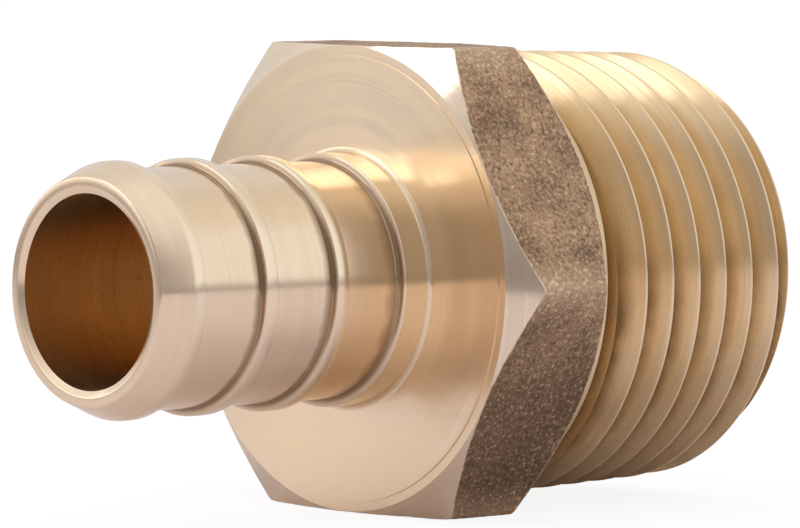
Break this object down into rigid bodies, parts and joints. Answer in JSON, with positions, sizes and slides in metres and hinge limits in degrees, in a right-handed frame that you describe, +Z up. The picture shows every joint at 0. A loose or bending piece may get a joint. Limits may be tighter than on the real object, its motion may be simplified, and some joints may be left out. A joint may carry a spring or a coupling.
{
  "type": "pex crimp to pipe thread adapter",
  "caption": "Brass straight adapter: a ribbed crimp barb for plastic tube, a hex for the wrench and a tapered male pipe thread, with a waterway bored through.",
  "frame": {"origin": "where the waterway's axis meets the hexagon's turned front face, the face the tube butts against", "axes": "+X along the waterway toward the pipe thread, -X toward the barb, +Z up out of one hexagon flat, hexagon corners at +Y and -Y"},
  "size_m": [0.0362, 0.0256, 0.0222],
  "materials": {
    "fitting_body": "turned bright, hexagon flats left as forged"
  },
  "bodies": {
    "root": {"fitting_body": "fitting_body"}
  },
  "joints": []
}
